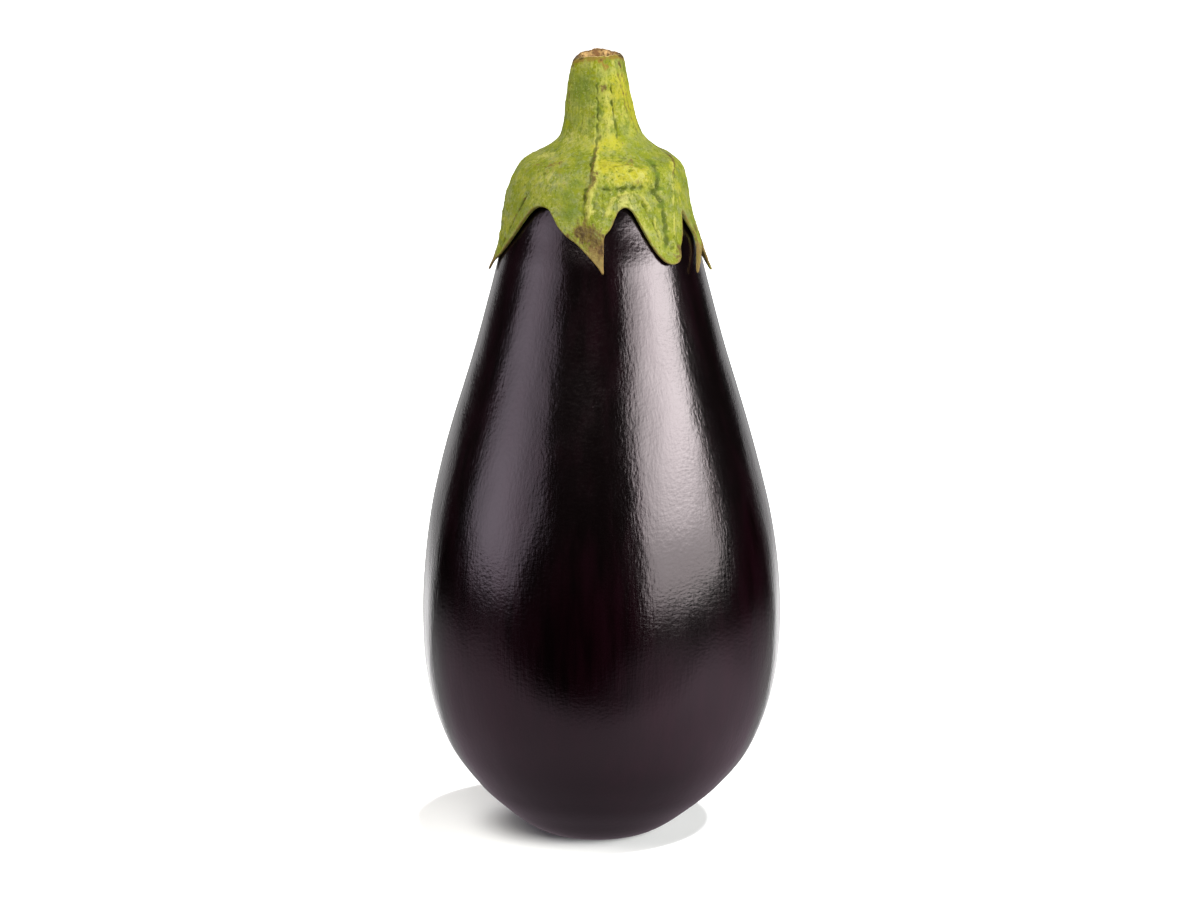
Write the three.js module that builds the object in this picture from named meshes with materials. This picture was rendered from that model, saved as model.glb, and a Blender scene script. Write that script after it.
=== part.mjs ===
// Globe eggplant standing on its flat spot: the fruit, the calyx lying on its shoulder and the cut stem above.
// Millimetres, +Z up, origin on the ground below the middle. The front faces -Y.
// Azimuths are degrees round the upright axis, from the front (0) towards +X (90).

import * as THREE from 'three';
import { LoftGeometry } from 'three/addons/geometries/LoftGeometry.js';

const { degToRad, lerp, smoothstep } = THREE.MathUtils;

// Driving dimensions

const FIT_GAP = 0.35; // clearance between pieces that touch

// Outline of the fruit, [radius, height], from the rim of its flat spot to the dome that the calyx hides.
const FRUIT_OUTLINE = [
  [14, 0],
  [18.5, 2],
  [24, 6],
  [31.5, 13],
  [39.5, 24],
  [44.5, 40],
  [46, 60],
  [44, 82],
  [39, 104],
  [32, 128],
  [27, 148],
  [25.5, 154],
  [23.5, 160],
  [21.5, 166],
  [19, 171],
  [15, 175],
  [9, 178],
  [3, 179],
];

// Outline of the green cap, [radius, height]: up over the calyx, in at the neck and along the stem to the cut.
const CAP_OUTLINE = [
  [29, 144],
  [27.2, 150],
  [25.6, 156],
  [24.2, 162],
  [23, 167],
  [22, 171],
  [21, 174],
  [19, 177],
  [14, 180],
  [10.6, 183],
  [9, 187],
  [8, 192],
  [7, 198],
  [5.8, 205],
];

// How far the middle of each level stands to the side of the upright axis, [shift, height].
const LEAN = [
  [-1.5, 0],
  [-0.5, 20],
  [0, 60],
  [-0.5, 100],
  [-0.5, 150],
  [-1, 165],
  [0, 179],
  [-0.5, 190],
  [-1, 205],
];

// The levels aren't quite round: shares of the radius.
const OVALNESS = 0.01;
const THREE_SIDEDNESS = 0.006;

const NECK_HEIGHT = 182; // where the stem sits on the calyx
const CUT_HEIGHT = 203.5; // middle of the cut at the top of the stem
const CUT_TILT = 0.7; // the cut is this much lower at the front rim and higher at the back

// The hollow in the cut, [share of the cut's radius, depth].
const CUT_HOLLOW = [
  [0.78, 0.4],
  [0.45, 1.5],
  [0, 1.7],
];

// Hem of the calyx, [azimuth, height, stand-off from the cap outline], once round its seven lobes.
const HEM = [
  [-93, 148, 0.7], // tip of the left lobe
  [-78, 152, 0.3],
  [-67, 156.5, 0.2],
  [-57, 161, 0.2],
  [-48, 165.5, 0.2],
  [-39, 167.5, 0.3], // notch
  [-32, 167, 0.2],
  [-27, 164.5, 0.2],
  [-20, 161.5, 0.2],
  [-13, 159.5, 0.2],
  [-7, 158, 0.2],
  [-2, 156, 0.2],
  [2.5, 151.5, 0.4], // tip of the front lobe
  [3.3, 155.5, 0.2],
  [4.1, 159, 0.2],
  [5.2, 162, 0.2],
  [8.5, 163, 0.2],
  [12, 166.5, 0.2],
  [17.5, 168.5, 0.3], // notch
  [22.5, 167.5, 0.2],
  [26.5, 164, 0.2],
  [30.5, 160, 0.2],
  [34, 157, 0.3],
  [40, 153.5, 0.8],
  [48, 153.5, 1], // blunt tip of the right front lobe
  [51, 156, 0.4],
  [56, 159, 0.2],
  [61, 163, 0.2],
  [64.5, 165.5, 0.3], // notch
  [69, 162.5, 0.3],
  [75, 158, 0.5],
  [80, 152.5, 0.8],
  [82, 148.5, 1], // tip of the slim lobe
  [85, 152, 0.8],
  [90, 157.5, 0.3],
  [98, 162, 0.3], // notch
  [102, 157, 0.5],
  [105, 151.5, 1],
  [107, 147, 2], // tip
  [111, 151.5, 0.8],
  [117, 157.5, 0.2],
  [124, 164, 0.2],
  [130, 167, 0.3], // notch
  [138, 164.5, 0.2],
  [146, 159, 0.2],
  [153, 153.5, 0.4],
  [158, 150, 0.8], // tip
  [163, 153, 0.4],
  [170, 159, 0.2],
  [178, 165, 0.2],
  [185, 167.5, 0.3], // notch
  [192, 165.5, 0.2],
  [200, 160.5, 0.2],
  [208, 155, 0.3],
  [214, 151, 0.6], // tip
  [219, 154.5, 0.3],
  [226, 161, 0.2],
  [234, 166.5, 0.3], // notch
  [241, 164, 0.2],
  [250, 158, 0.2],
  [259, 152.5, 0.4],
];

const STAND_OFF_POWER = 8; // only the end of each lobe stands off

// Keels that run down the stem and along each lobe, [azimuth on the stem, azimuth at the tip].
const KEELS = [
  [-70, -85],
  [-2, 1],
  [58, 45],
  [88, 82],
  [125, 107],
  [165, 158],
  [222, 214],
];
const KEEL_HEIGHT = 0.7; // half of it on the stem
const KEEL_WIDTH = 1.8;

// The slim lobe bends sideways towards the front below the given height.
const BEND = { middle: 82, reach: 16, from: 159, to: 149, turn: -17 };

// Fineness of the meshes.
const FRUIT_SIDES = 64;
const FRUIT_RINGS = 2 * (FRUIT_OUTLINE.length - 1);
const CALYX_SIDES = 120;
const CALYX_OUTER_RINGS = 9;
const CALYX_INNER_RINGS = 9;
const STEM_SIDES = 56;
const STEM_RINGS = 6;

// Shared curves and placing

function outlineOf(pairs) {
  return new THREE.SplineCurve(pairs.map(([radius, height]) => new THREE.Vector2(radius, height)));
}

const fruitOutline = outlineOf(FRUIT_OUTLINE);
const capOutline = outlineOf(CAP_OUTLINE);
const leanLine = outlineOf(LEAN);

// The share of a rising curve's length at which it reaches a height.
function shareAt(curve, height) {
  let low = 0;
  let high = 1;
  for (let step = 0; step < 22; step++) {
    const middle = (low + high) / 2;
    if (curve.getPointAt(middle).y < height) {
      low = middle;
    } else {
      high = middle;
    }
  }
  return low;
}

function widthAt(curve, height) {
  return curve.getPointAt(shareAt(curve, height)).x;
}

// A point of the eggplant from its place round the axis (radians), its radius and its height.
function place(angle, radius, height) {
  const round = 1 + OVALNESS * Math.sin(2 * angle) + THREE_SIDEDNESS * Math.cos(3 * angle);
  const shift = widthAt(leanLine, height);
  return new THREE.Vector3(
    shift + radius * round * Math.sin(angle),
    -radius * round * Math.cos(angle),
    height,
  );
}

function angles(count) {
  return Array.from({ length: count }, (_, side) => (side / count) * 2 * Math.PI);
}

// Height of the keels at an angle. share runs from 0 on the stem to 1 at the hem of the calyx.
function keelHeight(angle, radius, share) {
  let height = 0;
  for (const [onStem, atTip] of KEELS) {
    const away = angle - degToRad(lerp(onStem, atTip, share));
    const distance = radius * Math.atan2(Math.sin(away), Math.cos(away));
    height += Math.exp(-((distance / KEEL_WIDTH) ** 2));
  }
  return KEEL_HEIGHT * height * Math.min(1, 0.5 + 2 * share);
}

function bend(angle, height) {
  const away = (angle - degToRad(BEND.middle)) / degToRad(BEND.reach);
  const reach = Math.max(0, 1 - away ** 4);
  return degToRad(BEND.turn) * reach * smoothstep(BEND.from - height, 0, BEND.from - BEND.to);
}

// Fruit

function fruitGeometry() {
  const sections = [];
  for (let ring = 0; ring <= FRUIT_RINGS; ring++) {
    const { x: radius, y: height } = fruitOutline.getPoint(ring / FRUIT_RINGS);
    sections.push(angles(FRUIT_SIDES).map((angle) => place(angle, radius, height)));
  }
  return new LoftGeometry(sections, { capStart: true, capEnd: true });
}

// Calyx: one shell, lofted down over the fruit, round the hem and up to the neck

const hemLine = new THREE.CatmullRomCurve3(
  HEM.map(([azimuth, height, standOff]) => new THREE.Vector3().setFromCylindricalCoords(
    widthAt(capOutline, height) + standOff,
    degToRad(azimuth),
    height,
  )),
  true,
  'centripetal',
);
hemLine.arcLengthDivisions = 1200;

// One column of the calyx for each stop along the hem, with where it meets the two outlines.
function calyxColumns() {
  return Array.from({ length: CALYX_SIDES }, (_, side) => {
    const edge = new THREE.Cylindrical().setFromVector3(hemLine.getPointAt(side / CALYX_SIDES));
    const capShare = shareAt(capOutline, edge.y);
    return {
      angle: edge.theta,
      standOff: edge.radius - capOutline.getPointAt(capShare).x,
      capShare,
      fruitShare: shareAt(fruitOutline, edge.y),
    };
  });
}

// share runs from 0 at the neck to 1 at the hem.
function calyxOuter(column, share) {
  const neck = shareAt(capOutline, NECK_HEIGHT);
  const { x: radius, y: height } = capOutline.getPointAt(lerp(neck, column.capShare, share));
  const lift = column.standOff * share ** STAND_OFF_POWER;
  const keel = keelHeight(column.angle, radius, share) * (1 - share ** 4);
  return place(column.angle + bend(column.angle, height), radius + lift + keel, height);
}

// share runs from 0 at the middle of the dome to 1 at the hem.
function calyxInner(column, share) {
  const along = lerp(1, column.fruitShare, share);
  const { x: radius, y: height } = fruitOutline.getPointAt(along);
  const { x: inwards, y: upwards } = fruitOutline.getTangentAt(along);
  const lift = column.standOff * share ** STAND_OFF_POWER;
  return place(
    column.angle + bend(column.angle, height),
    radius + FIT_GAP * upwards + lift,
    height - FIT_GAP * inwards,
  );
}

function calyxGeometry() {
  const columns = calyxColumns();
  const ceiling = place(0, 0, FRUIT_OUTLINE.at(-1)[1] + FIT_GAP);
  const sections = [columns.map(() => ceiling)];
  for (let ring = 0; ring <= CALYX_INNER_RINGS; ring++) {
    sections.push(columns.map((column) => calyxInner(column, ring / CALYX_INNER_RINGS)));
  }
  for (let ring = CALYX_OUTER_RINGS; ring >= 0; ring--) {
    sections.push(columns.map((column) => calyxOuter(column, ring / CALYX_OUTER_RINGS)));
  }
  return new LoftGeometry(sections, { capEnd: true });
}

// Stem: ribbed and narrowing upwards, with a tilted cut that is hollow in the middle

function cutHeight(angle, share) {
  return CUT_HEIGHT - CUT_TILT * share * Math.cos(angle);
}

function stemGeometry() {
  const base = NECK_HEIGHT + FIT_GAP;
  const sections = [];
  for (let ring = 0; ring <= STEM_RINGS; ring++) {
    sections.push(angles(STEM_SIDES).map((angle) => {
      const height = lerp(base, cutHeight(angle, 1), ring / STEM_RINGS);
      const radius = widthAt(capOutline, height);
      return place(angle, radius + keelHeight(angle, radius, 0), height);
    }));
  }
  const rimRadius = widthAt(capOutline, CUT_HEIGHT);
  for (const [share, depth] of CUT_HOLLOW) {
    sections.push(angles(STEM_SIDES).map((angle) => (
      place(angle, rimRadius * share, cutHeight(angle, share) - depth)
    )));
  }
  return new LoftGeometry(sections, { capStart: true });
}

// The eggplant

const pieces = [
  ['fruit', fruitGeometry(), { color: 0x1a0c16, roughness: 0.25, metalness: 0 }],
  ['calyx', calyxGeometry(), { color: 0x8c9a3e, roughness: 0.65, metalness: 0 }],
  ['stem', stemGeometry(), { color: 0x98a53c, roughness: 0.65, metalness: 0 }],
];

const group = new THREE.Group();
for (const [name, geometry, finish] of pieces) {
  const mesh = new THREE.Mesh(geometry, new THREE.MeshStandardMaterial(finish));
  mesh.name = name;
  group.add(mesh);
}

export default group;
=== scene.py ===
# %% [markdown]
# # A globe eggplant
#
# A real eggplant is three things to a maker: a dark waxy fruit, a green calyx that lies on its shoulder
# like a lobed bell, and the stub of stem that it was cut from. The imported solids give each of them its
# size and place. This script builds the finer surfaces round them, gives them their finishes, and lights
# them.
#
# The solids are loaded first, because every other length is measured against them.

# %% Load the solids
import math

import bmesh
import bpy
import numpy as np
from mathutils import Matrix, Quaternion, Vector, kdtree, noise
from mathutils.geometry import interpolate_bezier


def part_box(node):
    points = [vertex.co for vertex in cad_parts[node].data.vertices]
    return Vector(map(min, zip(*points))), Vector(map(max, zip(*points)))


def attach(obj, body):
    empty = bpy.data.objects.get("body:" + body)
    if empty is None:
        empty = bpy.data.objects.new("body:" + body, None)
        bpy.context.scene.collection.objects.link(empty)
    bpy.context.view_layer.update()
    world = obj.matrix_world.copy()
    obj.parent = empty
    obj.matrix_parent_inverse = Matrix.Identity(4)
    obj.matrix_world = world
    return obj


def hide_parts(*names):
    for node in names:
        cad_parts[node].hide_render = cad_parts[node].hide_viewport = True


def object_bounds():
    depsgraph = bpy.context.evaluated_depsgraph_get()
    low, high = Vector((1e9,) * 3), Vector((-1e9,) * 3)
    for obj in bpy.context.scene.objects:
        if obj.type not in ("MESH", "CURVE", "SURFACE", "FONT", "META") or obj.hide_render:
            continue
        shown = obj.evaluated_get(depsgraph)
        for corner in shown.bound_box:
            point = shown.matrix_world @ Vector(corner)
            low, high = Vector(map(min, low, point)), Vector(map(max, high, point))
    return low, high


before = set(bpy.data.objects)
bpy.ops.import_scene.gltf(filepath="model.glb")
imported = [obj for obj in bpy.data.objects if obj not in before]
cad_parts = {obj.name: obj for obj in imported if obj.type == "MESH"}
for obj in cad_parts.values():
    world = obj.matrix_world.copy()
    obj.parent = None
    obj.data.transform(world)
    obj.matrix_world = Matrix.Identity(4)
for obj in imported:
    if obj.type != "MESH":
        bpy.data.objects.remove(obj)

cad_low, cad_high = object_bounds()
fruit_low, fruit_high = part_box("fruit")
print("the solids reach", [round(1000 * side, 1) for side in cad_high - cad_low], "mm")

# %% [markdown]
# The outlines below are written in millimetres, as one would note them beside a real eggplant with a
# ruler. One millimetre is taken from the height of the solid fruit, so the whole dressing follows if the
# solids are scaled.

# %% One millimetre
FRUIT_TALL = 179  # from the flat spot to the crown that the calyx hides
MM = (fruit_high.z - fruit_low.z) / FRUIT_TALL
print("one millimetre is", round(MM, 6), "m")

# %% [markdown]
# ## The camera
#
# A vegetable on a table is seen from a little above. A long lens from well back keeps its sides nearly
# parallel, so that it looks solid and not bulging.

# %% Camera
LOOK_DOWN = math.radians(12.5)
CAMERA_AWAY = 1.6
SENSOR_WIDTH = 36  # millimetres, like the lens
LENS = 185.6
AIM = Vector((-0.00055, 0, 0.493 * cad_high.z))
scene = bpy.context.scene


def add_object(name, data):
    """Puts a mesh or a camera into the scene."""
    thing = bpy.data.objects.new(name, data)
    scene.collection.objects.link(thing)
    return thing


camera_data = bpy.data.cameras.new("camera")
camera_data.sensor_width = SENSOR_WIDTH
camera_data.lens = LENS
camera = add_object("camera", camera_data)
away = Vector((0, -math.cos(LOOK_DOWN), math.sin(LOOK_DOWN)))
camera.location = AIM + CAMERA_AWAY * away
camera.rotation_euler = away.to_track_quat("Z", "Y").to_euler()
scene.camera = camera
scene.view_settings.view_transform = "Standard"
print("camera at", [round(part, 3) for part in camera.location])

# %% [markdown]
# ## Wiring finishes
#
# A finish is a tree of nodes. Written out by hand such a tree is long, so a small class wraps the output
# of a node: sums with it read like sums, and each of them adds a Math node. Every other node comes from
# one method that takes the node's kind, its settings and what goes into its sockets.


# %% Wires and trees
class Wire:
    """The output of a node, as a number that may differ over a surface. Each sum adds a Math node."""

    def __init__(self, tree, socket):
        self.tree = tree
        self.socket = socket

    def math(self, operation, first, second):
        return self.tree.node("Math", {"operation": operation}, {0: first, 1: second})

    def __add__(self, other):
        return self.math("ADD", self, other)

    def __sub__(self, other):
        return self.math("SUBTRACT", self, other)

    def __rsub__(self, other):
        return self.math("SUBTRACT", other, self)

    def __mul__(self, other):
        return self.math("MULTIPLY", self, other)

    def __truediv__(self, other):
        return self.math("DIVIDE", self, other)

    __radd__ = __add__
    __rmul__ = __mul__


class Tree:
    """The nodes of a material or of the world, emptied and ready to be wired."""

    def __init__(self, owner):
        owner.use_nodes = True
        self.data = owner.node_tree
        self.data.nodes.clear()

    def node(self, kind, settings, inputs, output=0):
        """Adds a shader node, sets it, fills its sockets with values or wires, gives back one output."""
        node = self.data.nodes.new("ShaderNode" + kind)
        for name, value in settings.items():
            setattr(node, name, value)
        for name, value in inputs.items():
            if isinstance(value, Wire):
                self.data.links.new(value.socket, node.inputs[name])
            else:
                node.inputs[name].default_value = value
        return Wire(self, node.outputs[output])

    def end(self, surface, kind="OutputMaterial"):
        """Ends the tree in its output node, which has no output of its own."""
        node = self.data.nodes.new("ShaderNode" + kind)
        self.data.links.new(surface.socket, node.inputs["Surface"])


# %% Nodes that are used again and again
def rise(value, low, high):
    """0 where the value is below low, 1 above high, a soft step between. Falls where low is larger."""
    inputs = {"Value": value, "From Min": low, "From Max": high}
    return value.tree.node("MapRange", {"interpolation_type": "SMOOTHSTEP"}, inputs)


def blend(mask, first, second):
    """The first colour where the mask is 0, and the second where it is 1."""
    return mask.tree.node("Mix", {"data_type": "RGBA"}, {0: mask, 6: first, 7: second}, 2)


def along_axis(place, axis):
    """How far a place lies along X, Y or Z."""
    return place.tree.node("SeparateXYZ", {}, {0: place}, axis)


def measure(operation, place, spot=(0, 0, 0)):
    """The DISTANCE from a place to a spot, their DOT_PRODUCT, or the LENGTH of the place alone."""
    inputs = {0: place, 1: spot}
    return place.tree.node("VectorMath", {"operation": operation}, inputs, "Value")


def speckle(place, size, detail=2.0, stretch=(1, 1, 1), roughness=0.5):
    """Soft random spots from 0 to 1, about as large as the size in metres, drawn out if wanted."""
    scaled = place.tree.node("Mapping", {}, {"Vector": place, "Scale": stretch})
    inputs = {"Vector": scaled, "Scale": 1 / size, "Detail": detail, "Roughness": roughness}
    return place.tree.node("TexNoise", {}, inputs)


def bumps(height, distance):
    """Relief that is too fine for the mesh, from 0 to a distance in metres."""
    return height.tree.node("Bump", {}, {"Distance": distance, "Height": height, "Strength": 1})


def new_finish(name):
    """A material, its tree, and the place of each of its points in metres."""
    finish = bpy.data.materials.new(name)
    tree = Tree(finish)
    return finish, tree, tree.node("TexCoord", {}, {}, "Object")


# %% [markdown]
# ## The studio
#
# A glossy dark skin shows little of its own colour: what is seen on it is the room. So the studio
# matters as much as the finish. It has a white table, a large bright softbox to the right of the camera,
# a dimmer lilac one far round to the left, a soft warm light overhead, and a white wall behind. The rest
# is dark, which keeps the middle of the skin black.
#
# The softboxes are panels that glow. Each is brightest at a hot spot, as real ones are, and dims towards
# its corners. The camera doesn't see them.


# %% Softboxes
MIDDLE = Vector((0, 0, 0.5 * cad_high.z))
WHITE = (0.98, 1.0, 0.97, 1)
LILAC = (1.02, 0.96, 1.09, 1)
WARM = (1, 0.98, 0.92, 1)
DIMMEST = 1.2  # halves of a panel from its hot spot to where it is dimmest


def sheet(name, width, tall, finish):
    """A flat rectangle of one face."""
    mesh = bpy.data.meshes.new(name)
    shape = bmesh.new()
    bmesh.ops.create_grid(shape, x_segments=1, y_segments=1, size=0.5)
    bmesh.ops.scale(shape, vec=(width, tall, 1), verts=shape.verts)
    shape.to_mesh(mesh)
    shape.free()
    mesh.materials.append(finish)
    return add_object(name, mesh)


def softbox_finish(name, width, tall, glow, colour, hot_spot=(0, 0), reach=(1, 1)):
    """Light that falls from glow[0] at a hot spot to glow[1]. Spot and reach are in half sides."""
    finish, tree, here = new_finish(name)
    scale = (2 / (width * reach[0]), 2 / (tall * reach[1]), 1)
    offset = (-hot_spot[0] / reach[0], -hot_spot[1] / reach[1], 0)
    scaled = tree.node("Mapping", {}, {"Vector": here, "Scale": scale, "Location": offset})
    strength = glow[1] + (glow[0] - glow[1]) * rise(measure("LENGTH", scaled), DIMMEST, 0)
    shine = tree.node("Emission", {}, {"Color": colour, "Strength": strength})
    tree.end(shine)
    return finish


def softbox(name, azimuth, elevation, distance, width, tall, roll=0, **light):
    """A panel that faces the eggplant. Its azimuth is in degrees from the front towards +X."""
    panel = sheet(name, width, tall, softbox_finish(name, width, tall, **light))
    turn = math.radians(azimuth)
    climb = math.radians(elevation)
    level = math.cos(climb)
    outward = Vector((math.sin(turn) * level, -math.cos(turn) * level, math.sin(climb)))
    panel.location = MIDDLE + distance * outward
    facing = outward.to_track_quat("Z", "Y") @ Quaternion((0, 0, 1), math.radians(roll))
    panel.rotation_euler = facing.to_euler()
    panel.visible_camera = False


softbox(
    "right_softbox", azimuth=56, elevation=12, distance=0.7, width=0.77, tall=0.44,
    glow=(16, 4.8), colour=WHITE, hot_spot=(0.35, 0.3), reach=(1.3, 0.7), roll=4,
)
softbox(
    "left_softbox", azimuth=-73.5, elevation=9, distance=0.9, width=0.65, tall=0.80,
    glow=(2.4, 1.1), colour=LILAC, hot_spot=(0, -0.2), roll=-40,
)
softbox(
    "fill_softbox", azimuth=-35, elevation=52, distance=0.9, width=0.90, tall=0.60,
    glow=(7.6, 5.3), colour=WARM,
)

# %% [markdown]
# The table is white paper. For the camera it is lit like paper near the eggplant and takes the contact
# shadow, and further out a painted glow lifts it to plain white, as an overexposed sweep looks, a little
# brighter to the right. In the reflections on the skin the table is all painted glow, about as bright as
# lit paper. There it ends a hand's width in front and brightens towards the white wall; a pool of light
# is painted on it where the right softbox would shine, and a painted shadow darkens it round the
# eggplant's foot. What it mirrors from the front has a faint pink tint.


# %% Table
TABLE_WIDE = 8
PAPER = (0.8, 0.8, 0.8, 1)
CONTACT_SPOT = (-0.0105, 0.003, 0)  # the middle of the contact shadow
SHADE_SPOT = (-0.0105, 0.008, 0)  # the middle of the paler shade round it
# The middle of a pool of light painted on the mirrored table, where the right softbox would shine.
PAINTED_POOL_SPOT = (0.15, -0.125, 0)
BEHIND = (-0.02, 0.9998, 0)  # the way to the white wall, a little left of straight back
FRONT_TINT = (1.08, 0.86, 1.0, 1)
NO_TINT = (1, 1, 1, 1)
FRONT_EDGE = (-0.145, -0.085)  # the mirrored table fades out between these depths


def paper_seen(tree, here):
    """What the camera sees: paper with its shadows, and a painted glow up to plain white outside them."""
    contact = measure("DISTANCE", here, CONTACT_SPOT)
    shade = measure("DISTANCE", here, SHADE_SPOT)
    glow = 0.27 * rise(contact, 0.012, 0.026) - 0.06 * rise(contact, 0.026, 0.038)
    # Painted light: the glow grows a little brighter towards the right, the side of the right softbox.
    glow = glow + rise(shade, 0.0375, 0.040) + 0.09 * rise(along_axis(here, "X"), 0.004, 0.030)
    lit = tree.node("BsdfDiffuse", {}, {"Color": PAPER})
    white = tree.node("Emission", {}, {"Strength": glow})
    return tree.node("AddShader", {}, {0: lit, 1: white})


def paper_mirrored(tree, here):
    """What the skin mirrors, all painted: a glowing disc, a bright strip to the wall, a pool of light."""
    out = measure("LENGTH", here)
    straight = measure("DOT_PRODUCT", here, BEHIND) / out  # 1 straight behind the eggplant, -1 in front
    distant = rise(out, 0.28, 0.50)
    behind = 4.2 * rise(straight, 0.69, 0.80) - 1.6 * rise(straight, 0.93, 0.99)
    behind = behind * (1 - 0.62 * distant) - 1.9 * rise(straight, 0.84, 0.95) * (1 - distant)
    near = rise(out, 0.42, 0.13)
    spread = near.math("MAXIMUM", near, behind) * rise(along_axis(here, "Y"), *FRONT_EDGE)
    # A pool of light painted on the table.
    painted_pool = rise(measure("DISTANCE", here, PAINTED_POOL_SPOT), 0.19, 0.03)
    painted_foot_shadow = 0.19 + 0.28 * rise(out, 0.015, 0.070)  # painted shadow round the eggplant's foot
    tint = blend(rise(straight, 0.2, 0.7), FRONT_TINT, NO_TINT)
    return tree.node("Emission", {}, {"Color": tint, "Strength": (spread + painted_pool) * painted_foot_shadow})


paper, tree, here = new_finish("table paper")
direct = tree.node("LightPath", {}, {}, "Is Camera Ray")
views = {0: direct, 1: paper_mirrored(tree, here), 2: paper_seen(tree, here)}
tree.end(tree.node("MixShader", {}, views))
table = sheet("table", TABLE_WIDE, TABLE_WIDE, paper)
print("table:", table.dimensions.x, "m wide")


# %% Walls of the studio
def studio_walls():
    """A white wall behind the eggplant, dark walls elsewhere, and plain white for the camera itself."""
    world = bpy.data.worlds.new("studio")
    tree = Tree(world)
    way = tree.node("TexCoord", {}, {}, "Generated")
    level = tree.node("VectorMath", {"operation": "MULTIPLY"}, {0: way, 1: (1, 1, 0)})
    level = tree.node("VectorMath", {"operation": "NORMALIZE"}, {0: level})
    back = measure("DOT_PRODUCT", level, BEHIND)
    brightness = 0.02 + 0.70 * rise(back, 0.83, 0.90) - 0.25 * rise(back, 0.94, 0.99)
    direct = tree.node("LightPath", {}, {}, "Is Camera Ray")
    backdrop = tree.node("Background", {}, {"Strength": brightness + direct * 2})
    tree.end(backdrop, "OutputWorld")
    return world


scene.world = studio_walls()
print("world:", scene.world.name)

# %% [markdown]
# ## Smooth outlines
#
# Fruit and calyx are both turned shapes at heart, so each starts from an outline: a few [radius, height]
# points with a smooth curve through them. The curve is cut into Bezier pieces, which Blender can walk
# along for us.


# %% Smooth lines
def smooth_line(points, closed=False, evenness=0.0, steps=24):
    """Close points along a smooth curve through the given ones. An evenness of 0.5 prevents loops."""
    knots = [Vector(point) for point in points]
    ring = [knots[-1], *knots, *knots[:2]] if closed else [knots[0], *knots, knots[-1]]
    line = []
    for before, start, end, after in zip(ring, ring[1:], ring[2:], ring[3:]):
        gap_before = (start - before).length ** evenness
        gap = (end - start).length ** evenness
        gap_after = (after - end).length ** evenness
        slope = (end - start) / gap
        leaving = (start - before) / gap_before - (end - before) / (gap_before + gap) + slope
        arriving = slope - (after - start) / (gap + gap_after) + (after - end) / gap_after
        handles = (start + leaving * gap / 3, end - arriving * gap / 3)
        line += interpolate_bezier(start, *handles, end, steps + 1)[:-1]
    line.append(ring[1] if closed else knots[-1])
    return np.array(line)


def lengths_along(line):
    """How far along a line each of its points lies."""
    steps = np.linalg.norm(np.diff(line, axis=0), axis=1)
    return np.concatenate([[0], np.cumsum(steps)])


class Outline:
    """A smooth rising outline of [radius, height] points, in millimetres."""

    def __init__(self, points):
        self.line = smooth_line(points)
        self.along = lengths_along(self.line)
        way = np.gradient(self.line, axis=0)
        self.way = way / np.linalg.norm(way, axis=1)[:, None]

    def radius(self, height):
        return np.interp(height, self.line[:, 1], self.line[:, 0])

    def length_to(self, height):
        return np.interp(height, self.line[:, 1], self.along)

    def at_length(self, length):
        """Radius and height at a length along the outline, and the way it points outwards there."""
        radius, height = [np.interp(length, self.along, side) for side in self.line.T]
        run, climb = [np.interp(length, self.along, side) for side in self.way.T]
        return radius, height, climb, -run


# %% Outlines of the fruit and of the green cap
FRUIT_OUTLINE = [
    (14, 0), (18.5, 2), (24, 6), (31.85, 13), (39.95, 24), (45.15, 40), (46.5, 60), (44.4, 82),
    (39.3, 104), (32.3, 128), (27, 148), (25.5, 154), (23.5, 160), (21.5, 166), (19, 171), (15, 175),
    (9, 178), (3, 179),
]
CAP_OUTLINE = [
    (29, 144), (27.2, 150), (25.6, 156), (24.2, 162), (23, 167), (22, 171), (21, 174), (19, 177),
    (14, 180), (10.6, 183), (9, 187), (8, 192), (7, 198), (5.8, 205),
]
LEAN = [
    (-1.5, 0), (-0.6, 20), (-0.2, 60), (-0.5, 100), (-0.5, 150), (-1, 165), (0, 179), (-0.5, 190),
    (-1, 205),
]
fruit_outline = Outline(FRUIT_OUTLINE)
cap_outline = Outline(CAP_OUTLINE)
lean = Outline(LEAN)
print("fruit", 2 * fruit_outline.line[:, 0].max(), "mm wide, solid", 1000 * (fruit_high.x - fruit_low.x))

# %% [markdown]
# No fruit is perfectly round. Every point goes through one function that makes each level a little oval
# and three-sided and lets the whole lean by a millimetre, just as the solids do. Calyx and stem use it
# too, so they stay on the fruit.

# %% Placing points round the axis
OVALNESS = 0.01
THREE_SIDEDNESS = 0.006


def place(angle, radius, height):
    """Points of the frame, in metres, from angles in radians and radii and heights in millimetres."""
    out_of_round = 1 + OVALNESS * np.sin(2 * angle) + THREE_SIDEDNESS * np.cos(3 * angle)
    across = lean.radius(height) + radius * out_of_round * np.sin(angle)
    deep = -radius * out_of_round * np.cos(angle)
    return np.stack(np.broadcast_arrays(across, deep, height), axis=-1) * MM


def soft_step(value, low, high):
    """The same soft step as rise(), for arrays of numbers."""
    share = np.clip((value - low) / (high - low), 0, 1)
    return share * share * (3 - 2 * share)


# %% [markdown]
# ## Turning a section
#
# The quickest way to a round thing is to draw half its section and spin it. Each point of the section is
# numbered, and the number rides along in a layer of the mesh. After the spin every point therefore still
# knows where on the section it came from, and it can be moved as a sculptor would move it.


# %% Spin
ON_AXIS = 0.001  # points that are nearer to the axis than this, in millimetres, are on it
SHARP = math.radians(60)  # edges that fold more than this stay sharp


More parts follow.
